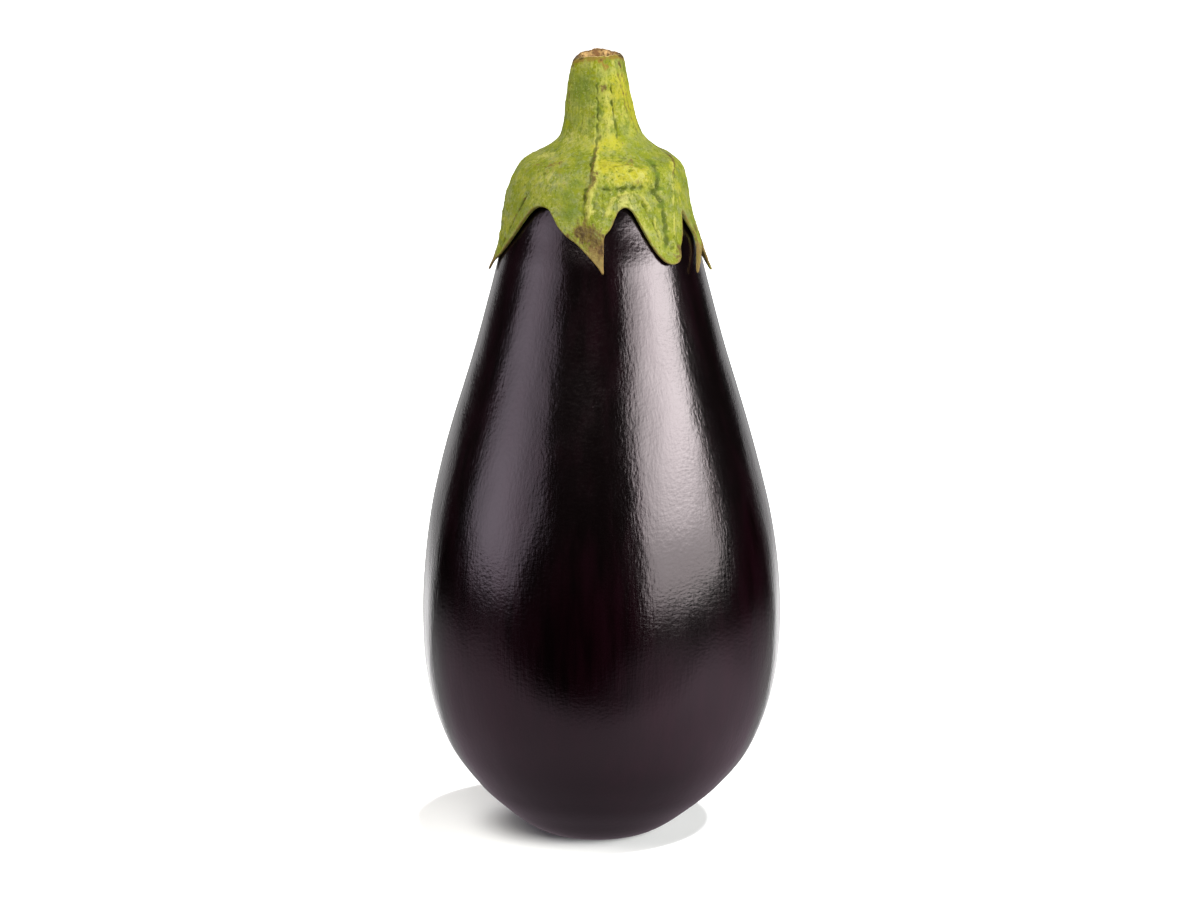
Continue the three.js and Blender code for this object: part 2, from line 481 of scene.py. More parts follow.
def spin_section(name, section, walk, turns):
    """Spins a section, which starts and ends on the axis, into a closed mesh. walk numbers its points."""
    shape = bmesh.new()
    layer = shape.verts.layers.float.new("walk")
    points = []
    for (radius, height), number in zip(section, walk):
        point = shape.verts.new((0, -radius * MM, height * MM))
        point[layer] = number
        points.append(point)
    sides = [shape.edges.new(pair) for pair in zip(points, points[1:])]
    bmesh.ops.spin(
        shape, geom=points + sides, cent=(0, 0, 0), axis=(0, 0, 1), angle=2 * math.pi,
        steps=turns, use_merge=True,
    )
    on_axis = [point for point in shape.verts if point.co.xy.length < ON_AXIS * MM]
    bmesh.ops.remove_doubles(shape, verts=on_axis, dist=ON_AXIS * MM)
    bmesh.ops.recalc_face_normals(shape, faces=shape.faces)
    mesh = bpy.data.meshes.new(name)
    shape.to_mesh(mesh)
    shape.free()
    mesh.shade_smooth()
    return mesh


def read_points(mesh):
    """Angle in radians, radius in millimetres and section number of every point of a spun mesh."""
    spots = np.zeros(3 * len(mesh.vertices))
    mesh.vertices.foreach_get("co", spots)
    spots = spots.reshape(-1, 3) / MM
    walk = np.zeros(len(mesh.vertices))
    mesh.attributes["walk"].data.foreach_get("value", walk)
    return np.arctan2(spots[:, 0], -spots[:, 1]), np.hypot(spots[:, 0], spots[:, 1]), walk


def finish_piece(mesh, points, finish, node):
    """Moves the mesh's points to their places and makes it a piece that stands for a solid."""
    mesh.vertices.foreach_set("co", points.ravel())
    mesh.update()
    mesh.set_sharp_from_angle(angle=SHARP)
    mesh.materials.append(finish)
    piece = add_object(f"{node}_surface", mesh)
    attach(piece, "root")
    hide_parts(node)
    print(piece.name, "has", sum(len(face.vertices) - 2 for face in mesh.polygons), "triangles")


# %% Soft random lumps
NOISE_SEED = 3

noise.seed_set(NOISE_SEED)  # without a seed, noise_vector starts from the clock and no two runs agree


def lumps(points, size):
    """Soft random heights from -1 to 1 at points in metres, about as large as the size in millimetres."""
    spots = points / (size * MM)
    return np.array([noise.noise(Vector(spot)) for spot in spots])


# %% [markdown]
# ## The fruit
#
# The fruit is spun from its outline. It stands on a flat spot, where the blossom left a small corky
# dimple. Real skin is never as true as a lathe's work, so the points then swell and sink by a tenth or
# two of a millimetre, which is just enough to make the long highlights wander. The lumps are drawn out
# upwards, as the fruit is.

# %% Fruit section
BLOSSOM_DIMPLE = [(0, 0.9), (1.5, 0.8), (2.6, 1.1), (3.6, 0.9), (5.5, 0.4), (8, 0.1), (10.5, 0)]
FRUIT_ROWS = 170
FRUIT_TURNS = 240

full_section = smooth_line([*BLOSSOM_DIMPLE, *FRUIT_OUTLINE, (0, 179)])
full_lengths = lengths_along(full_section)
row_lengths = np.linspace(0, full_lengths[-1], FRUIT_ROWS)
fruit_section = np.stack([np.interp(row_lengths, full_lengths, side) for side in full_section.T], -1)
fruit_section[:, 1] = np.clip(fruit_section[:, 1], 0, FRUIT_TALL)
fruit_mesh = spin_section("fruit_surface", fruit_section, range(FRUIT_ROWS), FRUIT_TURNS)
print("fruit section", len(fruit_section), "points")

# %% Fruit surface
SWELL = (0.20, 14)  # height and size of the broad lumps, in millimetres
RIPPLE = (0.05, 3.5)  # and of the small ones
DRAWN_OUT = 0.35

angle, radius, walk = read_points(fruit_mesh)
height = np.interp(walk, range(FRUIT_ROWS), fruit_section[:, 1])
even = place(angle, radius, height)
free = soft_step(height, 0.5, 20) * soft_step(height, 160, 140)
drawn_out = even * (1, 1, DRAWN_OUT)
swell = SWELL[0] * lumps(drawn_out, SWELL[1]) + RIPPLE[0] * lumps(drawn_out, RIPPLE[1])
fruit_points = place(angle, radius + swell * free, height)

# %% [markdown]
# The skin is nearly black. Where light gets into it, it is a deep maroon purple, in streaks that run
# from the blossom end up to the calyx. A thin wax makes it glossy. Fine upright wrinkles draw each
# highlight out into silky threads, and a grain like fine leather breaks up its edges. Both are far too
# fine for the mesh, so they are bumps in the finish.


# %% Skin
BLACK = (0.0009, 0.0001, 0.0002, 1)
MAROON = (0.0050, 0.0005, 0.0018, 1)
WAX_TINT = (1, 0.86, 0.91, 1)
WAX_IOR = 1.58
WRINKLE_DEPTH = 0.00008


def skin_finish():
    skin, tree, here = new_finish("waxy purple skin")
    streaks = speckle(here, 0.0035, 4, (1, 1, 0.10))
    clouds = speckle(here, 0.022, 3, (1, 1, 0.5))
    threads = speckle(here, 0.0007, 2, (1, 1, 0.12), 0.6)
    leather = speckle(here, 0.0008, 1, (0.7, 0.7, 1), 0.5)
    height = threads * 0.6 + leather * 0.4
    shader = tree.node("BsdfPrincipled", {}, {
        "Base Color": blend(rise(streaks * 0.5 + clouds * 0.6, 0.45, 0.75), BLACK, MAROON),
        "Roughness": 0.13 + 0.06 * streaks + 0.04 * threads,
        "Normal": bumps(height, WRINKLE_DEPTH),
        "IOR": WAX_IOR,
        "Specular Tint": WAX_TINT,
    })
    tree.end(shader)
    return skin


finish_piece(fruit_mesh, fruit_points, skin_finish(), "fruit")

# %% [markdown]
# ## The calyx
#
# The calyx is a cup of leathery sepals grown together. It starts as a plain bell: out over the shoulder,
# down to a hem, round the thickness of the leaf and back up inside. One function gives the section of
# that bell for any height of the hem. The plain bell is spun with a level hem, and then every column of
# its points is given a hem of its own, which cuts the seven lobes.

# %% Section of the bell
NECK_HEIGHT = 182
FIT_GAP = 0.35  # between the calyx and the fruit
HEM_THICKNESS = (0.5, 1.25)  # at the tips of the lobes and in the notches between them
TIP_HEIGHT = 150
NOTCH_HEIGHT = 167
STAND_OFF_POWER = 8  # only the end of each lobe stands off the fruit


def bell(walk, hem_height, stand_off):
    """Radius and height, and the outward way, at a place on the bell's section.

    walk is 0 at the neck, 1 where the outside meets the hem, 2 where the inside leaves it, 3 at the crown.
    """
    down = np.clip(walk, 0, 1)
    up = np.clip(walk - 2, 0, 1)
    turn = np.pi * np.clip(walk - 1, 0, 1)
    half = 0.5 * np.interp(hem_height, (TIP_HEIGHT, NOTCH_HEIGHT), HEM_THICKNESS)
    edge_height = hem_height + half
    neck = cap_outline.length_to(NECK_HEIGHT)
    side = cap_outline.length_to(edge_height) - neck
    radius, height, out, rise_out = cap_outline.at_length(neck + down * side)
    radius = radius + stand_off * down**STAND_OFF_POWER - half * (1 - np.cos(turn))
    height = height - half * np.sin(turn)
    crown = fruit_outline.along[-1]
    start = fruit_outline.length_to(edge_height)
    seat, seat_height, seat_out, seat_rise = fruit_outline.at_length(start + up * (crown - start))
    seat = seat + FIT_GAP * seat_out + stand_off * (1 - up) ** STAND_OFF_POWER
    seat_height = seat_height + FIT_GAP * seat_rise
    leaf = cap_outline.radius(seat_height) + stand_off * (1 - up) ** STAND_OFF_POWER - 2 * half
    spread = np.maximum(leaf - seat, 0) * soft_step(up, 0.35, 0)
    inside = walk >= 2
    radius = np.where(inside, seat + spread, radius)
    height = np.where(inside, seat_height, height)
    return radius, height, out, rise_out


# %% Spin the plain bell
OUTSIDE_ROWS = 100
EDGE_ROWS = 7
INSIDE_ROWS = 22
CALYX_TURNS = 640
LEVEL_HEM = 156.0
LEVEL_STAND_OFF = 0.3

calyx_walk = np.concatenate([
    [-1],
    np.linspace(0, 1, OUTSIDE_ROWS),
    np.linspace(1, 2, EDGE_ROWS + 2)[1:-1],
    np.linspace(2, 3, INSIDE_ROWS),
    [4],
])
level = np.full(len(calyx_walk), LEVEL_HEM)
plain_radius, plain_height, _, _ = bell(calyx_walk, level, LEVEL_STAND_OFF)
plain_radius[[0, -1]] = 0
bell_section = np.stack([plain_radius, plain_height], axis=-1)
calyx_mesh = spin_section("calyx_surface", bell_section, calyx_walk, CALYX_TURNS)
print("bell section", len(bell_section), "points")

# %% [markdown]
# The hem is one closed line round the fruit, low at the tips and high in the notches. Its points are
# noted as azimuth in degrees from the front, height and stand-off. The columns are spread evenly along
# it, so that steep flanks get as many as they need.

# %% The hem
HEM = [
    (-93, 148, 1), (-86, 150.8, 0.6), (-78, 153, 0.3), (-67, 157.2, 0.2), (-57, 161.8, 0.2),
    (-50, 165.2, 0.2), (-45, 166.9, 0.3), (-40, 167.5, 0.4), (-34, 167.1, 0.3), (-29.5, 165.3, 0.2),
    (-25.5, 163.1, 0.2), (-20, 161, 0.2), (-13, 159, 0.2), (-6.5, 156.2, 0.2), (-1.2, 153.6, 0.3),
    (1.6, 151.8, 0.5), (2, 154.4, 0.3), (2.5, 158, 0.2), (3.6, 161.2, 0.2), (7.6, 163.1, 0.2),
    (10.4, 165.5, 0.2), (13, 167.4, 0.3), (16.7, 168.1, 0.4), (21, 167.3, 0.3), (24.5, 165.2, 0.2),
    (27.3, 162.8, 0.2), (30, 160.1, 0.2), (32.7, 157.5, 0.3), (35.5, 155.4, 0.6), (39, 153.8, 0.9),
    (43, 153.2, 1), (48, 153.6, 1), (50.6, 154.8, 0.8), (53, 156.6, 0.4), (57.5, 159, 0.3),
    (61.5, 162, 0.2), (64.5, 165.2, 0.3), (69, 162.5, 0.3), (75, 158.4, 0.5), (79.7, 153.4, 0.8),
    (82, 149.8, 1), (84.6, 153, 0.8), (89, 157.8, 0.4), (98, 162, 0.3), (102, 157, 0.9),
    (105, 151.2, 1.4), (107, 146.4, 2), (111, 151.2, 1), (117, 157.5, 0.2), (124, 164, 0.2),
    (130, 167, 0.3), (138, 164.5, 0.2), (146, 159, 0.2), (153, 153.5, 0.4), (158, 150, 0.8),
    (163, 153, 0.4), (170, 159, 0.2), (178, 165, 0.2), (185, 167.5, 0.3), (192, 165.5, 0.2),
    (200, 160.5, 0.2), (208, 155, 0.3), (214, 151, 0.6), (219, 154.5, 0.3), (226, 161, 0.2),
    (234, 166.5, 0.3), (241, 164, 0.2), (250, 158, 0.2), (259, 152.5, 0.4),
]


def hem_spot(azimuth, height, stand_off):
    """A place on the hem as a point, in millimetres round an upright axis."""
    radius = float(cap_outline.radius(height)) + stand_off
    turn = math.radians(azimuth)
    return Vector((radius * math.sin(turn), -radius * math.cos(turn), height))


hem_line = smooth_line([hem_spot(*spot) for spot in HEM], closed=True, evenness=0.5)
hem_lengths = lengths_along(hem_line)
hem_angles = np.unwrap(np.arctan2(hem_line[:, 0], -hem_line[:, 1]))
hem_heights = hem_line[:, 2]
hem_stand_offs = np.hypot(hem_line[:, 0], hem_line[:, 1]) - cap_outline.radius(hem_heights)
print("the hem is", round(hem_lengths[-1]), "mm long")

# %% Cut the lobes
BEND_MIDDLE = 82  # the slim lobe bends to the front: its azimuth in degrees
BEND_REACH = 16
BEND_HEIGHTS = (159, 149)  # where it starts and where it is full, in millimetres
BEND_TURN = -20

angle, radius, walk = read_points(calyx_mesh)
on_axis = radius < ON_AXIS
hem_length = (angle / (2 * np.pi) % 1) * hem_lengths[-1]
column_angle = np.interp(hem_length, hem_lengths, hem_angles)
column_hem = np.interp(hem_length, hem_lengths, hem_heights)
column_stand_off = np.interp(hem_length, hem_lengths, hem_stand_offs)
radius, height, out, rise_out = bell(walk, column_hem, column_stand_off)
radius[on_axis] = 0
bent = np.clip(1 - ((np.degrees(column_angle) - BEND_MIDDLE) / BEND_REACH) ** 4, 0, 1)
bent = bent * soft_step(height, *BEND_HEIGHTS)
calyx_angle = column_angle + math.radians(BEND_TURN) * bent
calyx_spots = place(calyx_angle, radius, height)

# %% [markdown]
# ## Veins, folds and scars
#
# What makes a calyx look grown is its relief: a keel down the middle of each lobe, folds where the bud
# was creased, and fine grooves that carry on up the stem. Each is a short line across the surface, in
# azimuth and height, with a width and a depth in millimetres. One function measures how far a point is
# from such a line. The same numbers then move the points and are kept with the mesh, where the finish
# reads them to paint shade into grooves and folds and highlights onto ridges and crests.

# %% Distance from lines
TAPER = 0.16  # share of a line's length over which it fades out at each end


def on_cap(spots):
    """Places of azimuth and height on the smooth green cap, as points in metres along a smooth line."""
    line = smooth_line(spots, steps=5)
    return place(np.radians(line[:, 0]), cap_outline.radius(line[:, 1]), line[:, 1])


def nearness(points, spots, width):
    """1 on a line and soft to 0 beside it, fading towards its two ends."""
    line = on_cap(spots)
    along = lengths_along(line) / lengths_along(line)[-1]
    best = np.full(len(points), np.inf)
    share = np.zeros(len(points))
    for start, end, share_start, share_end in zip(line, line[1:], along, along[1:]):
        way = end - start
        step = np.clip((points - start) @ way / (way @ way), 0, 1)
        gap = np.linalg.norm(points - start - step[:, None] * way, axis=1)
        closer = gap < best
        best = np.where(closer, gap, best)
        share = np.where(closer, share_start + step * (share_end - share_start), share)
    fade = soft_step(share, 0, TAPER) * soft_step(share, 1, 1 - TAPER)
    return np.exp(-((best / (width * MM)) ** 2)) * fade


# %% Keels, folds and grooves
KEELS = [  # azimuth on the stem, azimuth at the tip, height
    (-70, -85, 0.6), (-2, 1, 0.45), (58, 45, 0.5), (88, 82, 0.6), (125, 107, 0.6), (165, 158, 0.7),
    (222, 214, 0.7),
]
KEEL_WIDTH = 1.7

LONG_FOLD = [(-53, 172.5), (-59.3, 167.3), (-63, 164.1), (-68, 160.9), (-75.2, 156.4), (-82, 151)]
GROOVES = [  # spots, width, depth
    ([(-3, 187), (-6.8, 183), (-8.8, 179), (-8, 177), (-8.2, 174.3), (-9.7, 172), (-9.6, 168), (-8, 163)],
     0.42, 0.48),
    ([(-2, 173.5), (6, 172.7), (15, 172.7), (23, 173), (33, 172.7)], 0.55, 0.42),
    ([(33, 173), (40, 170.7), (44, 168.7), (45, 165.7), (44, 163), (43, 159.6), (42, 156)], 0.8, 0.5),
    ([(48, 178.3), (43.5, 176), (41.8, 173.5), (41, 171)], 0.8, 0.35),
    ([(26.5, 170.3), (31, 167.3), (34.5, 164.3), (36.5, 161.3), (38, 158)], 0.35, 0.3),
    ([(76.5, 177.8), (66.8, 176), (59.3, 173.6), (54.8, 170.9)], 0.35, 0.28),
    (LONG_FOLD, 0.36, 0.48),
    ([(-50, 171.5), (-55, 168), (-60, 163.8)], 0.28, 0.24),
    ([(-4, 200), (-5, 194.2), (-4.8, 189.9), (-3.5, 186.1), (0, 182.5)], 0.38, 0.42),
    ([(22, 199), (24.2, 193.6), (25.5, 189.3), (23.8, 185.1), (23, 182.5)], 0.38, 0.42),
    ([(-33, 193), (-32, 188), (-36, 182)], 0.4, 0.24),
    ([(63, 199), (62, 190), (60, 184)], 0.35, 0.2),
    ([(58, 170), (57, 166), (54, 161.5)], 0.3, 0.18),
    ([(66, 175), (65, 171), (62, 166.5)], 0.3, 0.14),
    ([(84, 170), (84, 163), (82, 155)], 0.35, 0.2),
    ([(140, 181), (128, 174), (117, 166), (110, 157)], 0.35, 0.3),
    ([(150, 178), (148, 170), (153, 161)], 0.3, 0.22),
    ([(180, 181), (174, 175), (166, 167), (161, 157)], 0.4, 0.35),
    ([(200, 180), (205, 173), (212, 165), (214, 157)], 0.4, 0.35),
    ([(232, 178), (226, 170), (220, 161)], 0.3, 0.22),
    ([(250, 181), (256, 174), (258, 166), (260, 158)], 0.4, 0.3),
]
RIDGES = [  # spots, width, height
    ([(-6, 187), (-6.5, 183), (-6, 180), (-4.5, 175.2), (-6.3, 171.6), (-6.3, 168.8), (-5.6, 165.9),
      (-4, 162.5)], 0.85, 0.5),
    ([(2, 162.7), (5.5, 166.9), (9, 170.2), (15.2, 171.7), (23.2, 171.8), (30, 170.2), (34, 167.1),
      (37, 163.3), (38, 159.4), (39, 156.5)], 0.65, 0.44),
    ([(75, 178.4), (69.5, 177.2), (59, 174.6), (55, 172), (54.5, 168.5), (53, 164.5), (49.5, 160.5),
      (45.5, 156.5)], 0.6, 0.5),
    ([(9, 201), (11, 194), (12, 188), (9, 183)], 1.1, 0.3),
    ([(-11, 194), (-10, 188), (-9, 182)], 0.45, 0.22),
    ([(45, 200), (47, 191), (50, 184)], 0.8, 0.2),
    ([(62, 172), (59, 166), (55, 160)], 0.5, 0.16),
    ([(-75, 168), (-80, 160), (-85, 153)], 0.6, 0.25),
    ([(170, 182), (163, 174), (158, 162), (158, 153)], 0.7, 0.3),
    ([(224, 182), (218, 174), (214, 164), (214, 154)], 0.7, 0.3),
    ([(265, 178), (270, 168), (272, 158)], 0.6, 0.2),
]
print(len(GROOVES), "grooves and", len(RIDGES), "ridges")

# %% [markdown]
# A line drawn with a compass looks wrong on a plant. So before a line is measured from, the points are
# led astray by soft noise, and the depth comes and goes along it. Where the leaf was pinched in the bud
# it is crumpled: that is noise folded at zero, which turns soft lumps into sharp creases.

# %% Swellings and crumples
SWELLINGS = [  # azimuth, height, reach across, reach down, rise
    (8, 176.8, 6, 2.4, 0.55), (26, 175.8, 6, 2.4, 0.6), (-38, 172, 8, 6, 0.35), (70, 171, 5, 6, 0.3),
    (-20, 165, 6, 5, 0.25), (-92, 169, 9, 9, 0.8), (-88, 194, 5, 10, 0.75), (130, 172, 7, 6, 0.4),
    (195, 174, 9, 5, 0.5), (245, 171, 7, 6, 0.4),
]
CRUMPLED = [  # azimuth, height, reach, strength
    (17, 176.3, 6.5, 1), (-5, 177, 3, 0.9), (-5, 169, 2.6, 1), (2, 168, 3, 0.8), (-6, 161, 3.5, 0.7),
    (42, 172, 4, 0.8), (47, 157, 3, 0.6), (-45, 176, 4, 0.5), (185, 176, 6, 0.8), (110, 170, 5, 0.6),
    (235, 176, 5, 0.7),
]
CRUMPLE_DEPTH = 0.36


def keel_rise(angle, radius, share):
    """Height of the keels. share runs from 0 on the stem to 1 at the hem of the calyx."""
    total = 0
    for on_stem, at_tip, keel_height in KEELS:
        away = angle - np.radians(on_stem + (at_tip - on_stem) * share)
        distance = radius * np.arctan2(np.sin(away), np.cos(away))
        total = total + keel_height * np.exp(-((distance / KEEL_WIDTH) ** 2))
    return total * np.minimum(1, 0.5 + 2 * share)


def swelling_rise(angle, radius, height):
    """Height of the broad swellings of the cap and the stem."""
    total = 0
    for azimuth, middle, across, down, rise_by in SWELLINGS:
        away = angle - math.radians(azimuth)
        aside = radius * np.arctan2(np.sin(away), np.cos(away)) / across
        below = (cap_outline.length_to(height) - cap_outline.length_to(middle)) / down
        total = total + rise_by * np.exp(-(aside**2) - below**2)
    return total


def patches(points, spots):
    """How strongly a list of soft spots covers each point."""
    cover = np.zeros(len(points))
    for azimuth, height, reach, strength in spots:
        middle = place(math.radians(azimuth), float(cap_outline.radius(height)), height)
        gap = np.linalg.norm(points - middle, axis=1) / (reach * MM)
        cover = np.maximum(cover, strength * np.exp(-(gap**2)))
    return cover


def astray(points, size, reach):
    """The points, each led astray by soft noise of a size and a reach in millimetres."""
    spots = points / (size * MM)
    return points + reach * MM * np.array([noise.noise_vector(Vector(spot)) for spot in spots])


def fine_relief(points):
    """Grooves, ridges, creases and lumps in millimetres, and masks of the first three for painted light.
    """
    loose = astray(points, 1.5, 0.6)
    come_and_go = np.clip(0.9 + 0.9 * lumps(points, 1.9), 0.45, 1.4)
    groove_and_shade = come_and_go * sum(depth * nearness(loose, spots, width) for spots, width, depth in GROOVES)
    ridge_and_highlight = come_and_go * sum(depth * nearness(loose, spots, width) for spots, width, depth in RIDGES)
    folds_and_painted_light = 0.6 - 2 * np.abs(lumps(loose, 1.7)) + 0.5 * (0.6 - 2 * np.abs(lumps(points, 0.8)))
    folds_and_painted_light = folds_and_painted_light * (0.25 + 0.75 * patches(points, CRUMPLED))
    leather = 0.16 * lumps(points, 3.4) + 0.07 * lumps(points, 1.3)
    return ridge_and_highlight - groove_and_shade + CRUMPLE_DEPTH * folds_and_painted_light + leather, groove_and_shade, ridge_and_highlight, folds_and_painted_light


# %% [markdown]
# Colour follows age and knocks, with light and shade painted in as well. The cap is yellower on the
# bulge of its shoulder and on its right side, partly painted light; darker green in its hollows and on
# its left, partly painted shade; and pale on the lit faces of its ridges, partly painted highlight. It is
# brown where it was scratched, and rusty where a scab has healed. Its tips have dried out. Such patches
# are soft spots on the surface, whose edges are led astray too. They are kept with the mesh in layers
# that the finish reads.

# %% Patches of colour
# Partly the cap's own yellow, partly painted light on the shoulder's bulge and the right side.
YELLOW_AND_PAINTED_LIGHT = [  # azimuth, height, reach, strength
    (1, 178, 3, 1), (12, 177.2, 4, 1), (27, 175.8, 3.5, 0.9), (-5, 182, 2, 0.7), (14, 183, 4, 0.6),
    (38, 188, 3, 0.4), (16, 191, 3, 0.7), (50, 196, 5, 0.9), (75, 190, 6, 0.8), (68, 176.5, 4, 0.5),
    (64, 170, 4, 0.5), (53, 163, 2, 0.5), (-45, 178, 4, 0.35), (-30, 184, 3, 0.3), (150, 172, 8, 0.6),
    (230, 175, 7, 0.5), (18, 165, 3, 0.35),
]
# Partly pale colour, partly highlights painted on the lit faces of ridges and folds.
PALE_AND_PAINTED_HIGHLIGHT = [
    (28.5, 175, 1.7, 0.8), (22, 176.6, 1.5, 0.6), (-5.5, 172, 1.1, 0.8), (-5.5, 169.5, 1.3, 0.9),
    (-5, 167, 1.3, 0.9), (-4.5, 164.6, 1.1, 0.8), (12, 194, 1.4, 0.6), (60, 175.5, 1.5, 0.4),
    (14, 197, 0.7, 1), (16, 170, 2.6, 0.9), (22, 168, 2.6, 0.7), (29, 164, 2.4, 0.5),
    (56, 165, 2.5, 0.3), (48, 162, 1.2, 0.5), (-24, 163, 2.5, 0.3), (-80, 156, 4, 0.4),
    (-38, 175, 5, 0.5), (-69, 179, 4, 0.6), (-52, 183.5, 3, 0.6), (-3, 189, 1.2, 0.5),
    (21, 189, 2, 0.6), (170, 170, 3, 0.5), (215, 168, 3, 0.5),
]
# Partly deep green, partly shade painted into hollows, along the shoulder's undercut and on the left.
DEEP_GREEN_AND_PAINTED_SHADE = [
    (45.5, 178, 2, 0.9), (42.5, 175, 1.8, 1), (42, 172, 1.8, 1), (43.5, 168, 1.6, 1),
    (43.5, 164.5, 1.4, 0.9), (43, 161.5, 1.5, 0.9), (41.5, 158, 1.5, 0.9), (14, 172.6, 1.6, 0.8),
    (4, 172.6, 1.8, 0.8), (24, 172.9, 1.3, 0.6), (2, 168, 2, 0.5), (2, 164, 1.6, 0.4),
    (-25, 199, 4, 0.45), (-30, 191, 3, 0.4), (-6, 196, 2.4, 0.45), (-12, 188, 1.6, 0.6),
    (-60, 166, 4.5, 0.6), (-22, 171, 4, 0.6), (-17, 174, 3, 0.7), (-17, 167, 4, 0.7),
    (-12, 162, 3, 0.5), (-70, 158, 3, 0.4), (-8, 196.8, 0.7, 1), (36, 192, 1.6, 0.5),
    (28, 197, 1.6, 0.6), (-42, 196, 6, 0.7), (-50, 188, 4, 0.5), (37, 184, 3, 0.45), (60, 181, 4, 0.4),
    (38, 181, 3, 0.5), (200, 168, 7, 0.6), (110, 165, 6, 0.5), (-85, 175, 5, 0.4), (58, 160, 2, 0.4),
]
BROWN = [
    (-6.6, 176.4, 0.9, 0.9), (-5, 174.2, 1.2, 1), (-11.5, 162.3, 2.2, 1.15), (-5.8, 161.8, 3, 1.3),
    (-1.8, 160.4, 2.8, 1.35), (1, 158.5, 2, 1), (24, 178.8, 0.9, 0.9), (21.5, 179.6, 0.8, 0.8),
    (28, 174.2, 0.8, 0.7), (9, 196.9, 0.9, 1.3), (-33, 176.5, 1.8, 0.6), (-44, 177.2, 2, 0.6),
    (-62, 176.5, 1.6, 0.5), (-24, 177, 1.2, 0.45), (-75, 201.8, 0.9, 1.1), (51, 156, 1.4, 1.2),
    (46, 154.5, 1.4, 1.1), (40.5, 155, 1, 0.9), (62, 161.5, 0.9, 0.7), (68, 161, 1.2, 0.8),
    (78, 159.5, 1.8, 1), (-17, 160.4, 1.6, 0.9), (19, 203.1, 0.7, 1.1), (150, 170, 1.2, 0.6),
    (216, 176, 1.3, 0.7), (180, 163, 1, 0.5), (260, 160, 1.4, 0.5), (120, 179, 1.2, 0.6),
]
SCABS = [
    (8, 202.9, 1, 1.2), (14, 202.8, 1.1, 1.2), (-7, 178.6, 1, 0.7), (-6.5, 173.5, 1, 0.7),
    (23, 178, 0.9, 0.8),
]
DRY_TIPS = [
    (-1, 156, 4, 1.1), (1.6, 151.5, 4, 1.4), (-88, 149, 4.5, 1.2), (74, 154, 3, 1.2), (66, 150, 3, 1.4),
    (47, 153.6, 1.3, 0.9), (106, 150, 4, 1.1), (158, 151, 3.5, 1.1), (214, 152, 3.5, 1.1),
    (261, 153, 2.5, 1),
]
BROWN_LINES = [  # spots, width, strength
    ([(-18, 161), (-12, 162.3), (-6, 162.6), (-1, 162.4), (4, 160.6)], 0.7, 0.8),
    ([(-74, 173.5), (-63, 176.5), (-50, 177.6), (-38, 178), (-30, 177)], 0.9, 0.5),
    ([(-3.5, 184), (-7, 181), (-8.5, 178.5), (-7, 176.5), (-5.5, 174.5), (-8.5, 172.5), (-9.5, 169)],
     0.4, 0.8),
    ([(54, 203.4), (54, 202), (53, 200.8)], 0.4, 1.3),
    ([(44, 202), (47, 198), (50, 193), (50, 188)], 0.4, 0.8),
    ([(56, 202), (58, 197), (60, 191), (62, 186)], 0.4, 0.65),
    ([(-70, 201), (-68, 196), (-66, 190)], 0.4, 0.6),
    ([(4, 197.6), (9, 196.8), (14, 195.8)], 0.35, 1.3),
    (LONG_FOLD, 0.3, 0.85),
    ([(96, 183), (90, 180.5), (80, 177.8), (69, 176.4), (60, 174.9), (57, 173.2)], 0.4, 1.1),
]
# The deep layer carries painted shade as well as deep green.
PATCHES = {"yellow_and_painted_light": YELLOW_AND_PAINTED_LIGHT, "pale_and_painted_highlight": PALE_AND_PAINTED_HIGHLIGHT, "deep": DEEP_GREEN_AND_PAINTED_SHADE, "dry": DRY_TIPS, "scab": SCABS}


def keep(mesh, name, values):
    """Stores a number for each point of a mesh under a name that a finish can read."""
    layer = mesh.attributes.new(name, "FLOAT", "POINT")
    layer.data.foreach_set("value", np.asarray(values, dtype=np.float32))


def colour_layers(mesh, points, groove_and_shade, ridge_and_highlight, folds_and_painted_light, to_edge, scorch):
    """Keeps all the layers that the green finish reads. to_edge is in millimetres from the hem."""
    loose = astray(points, 1.2, 0.5)
    ragged = astray(astray(points, 2.5, 1.3), 0.9, 1.0)
    for name, spots in PATCHES.items():
        keep(mesh, name, patches(ragged, spots))
    scratched = sum(strength * nearness(loose, spots, width) for spots, width, strength in BROWN_LINES)
    keep(mesh, "brown", np.maximum(patches(ragged, BROWN), scratched))
    keep(mesh, "groove_and_shade", groove_and_shade)
    keep(mesh, "ridge_and_highlight", ridge_and_highlight)
    keep(mesh, "folds_and_painted_light", folds_and_painted_light)
    keep(mesh, "to_edge", to_edge)
    keep(mesh, "scorch", scorch)


# %% Calyx surface
on_rim = np.where(walk > 1, np.cos(np.pi / 2 * np.clip(walk - 1, 0, 1)), 1) * (walk < 2) * (walk > -0.5)
share = np.clip(walk, 0, 1)
from_neck = soft_step(walk, 0, 0.12)  # at the neck relief points straight outwards, as the stem's does
out = 1 + (out - 1) * from_neck
rise_out = rise_out * from_neck
fine, groove_and_shade, ridge_and_highlight, folds_and_painted_light = fine_relief(calyx_spots)
keels = keel_rise(calyx_angle, radius, share) * (1 - share**4)
lift = (fine + swelling_rise(calyx_angle, radius, height)) * on_rim
calyx_points = place(calyx_angle, radius + keels * on_rim + lift * out, height + lift * rise_out)

